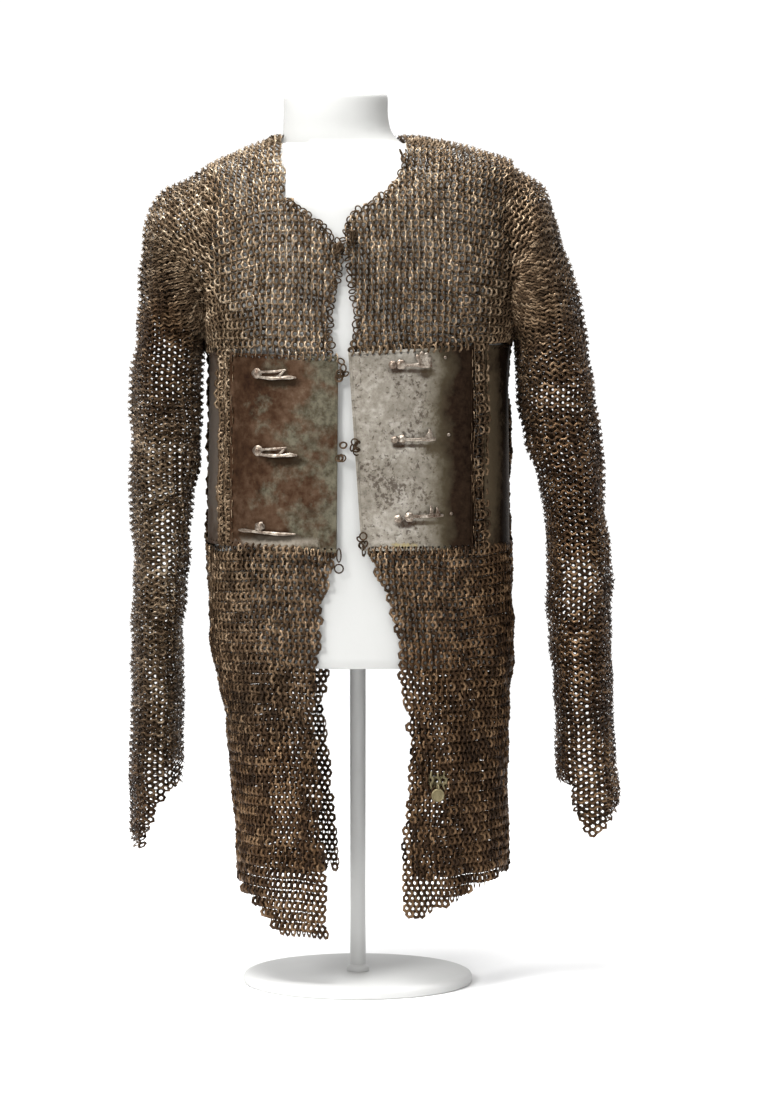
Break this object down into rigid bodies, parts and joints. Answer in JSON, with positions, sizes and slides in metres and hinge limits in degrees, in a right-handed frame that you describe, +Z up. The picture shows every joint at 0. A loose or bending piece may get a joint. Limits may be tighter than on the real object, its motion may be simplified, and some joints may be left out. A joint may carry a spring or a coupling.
{
  "type": "mail and plate hauberk on a limbless dress form",
  "caption": "Long-sleeved mail hauberk, open down the front, with breast and side plates and clasps, worn by a plain limbless dress form on a stand.",
  "frame": {"origin": "on the floor, under the middle of the object's box", "axes": "+Z up, the front of the garment faces -Y, +X to the viewer's right, which is the wearer's left"},
  "size_m": [0.563, 0.264, 1.022],
  "materials": {
    "mail": "dark russet iron rings, rubbed bright on their high edges",
    "russet_plate": "rusted steel plate with grey and green worn patches",
    "grey_plate": "cleaned steel plate with dark pits and brown stains",
    "clasp_steel": "worn bright iron fittings",
    "old_brass": "dull, pale old brass",
    "form_white": "matt white display form",
    "stand_white": "satin white paint"
  },
  "bodies": {
    "root": {"yoke_front_right": "mail", "yoke_front_left": "mail", "back_body": "mail", "sleeve_right": "mail", "sleeve_left": "mail", "skirt_front_right": "mail", "skirt_front_left": "mail", "skirt_back_right": "mail", "skirt_back_left": "mail", "strip_right": "mail", "strip_left": "mail", "plate_front_right": "russet_plate", "plate_side_right": "russet_plate", "plate_front_left": "grey_plate", "plate_side_left": "grey_plate", "clasp_right_upper": "clasp_steel", "clasp_right_middle": "clasp_steel", "clasp_right_lower": "clasp_steel", "clasp_left_upper": "clasp_steel", "clasp_left_middle": "clasp_steel", "clasp_left_lower": "clasp_steel", "brass_seal": "old_brass", "dress_form": "form_white", "stand_pole": "stand_white", "stand_base": "stand_white"}
  },
  "joints": []
}
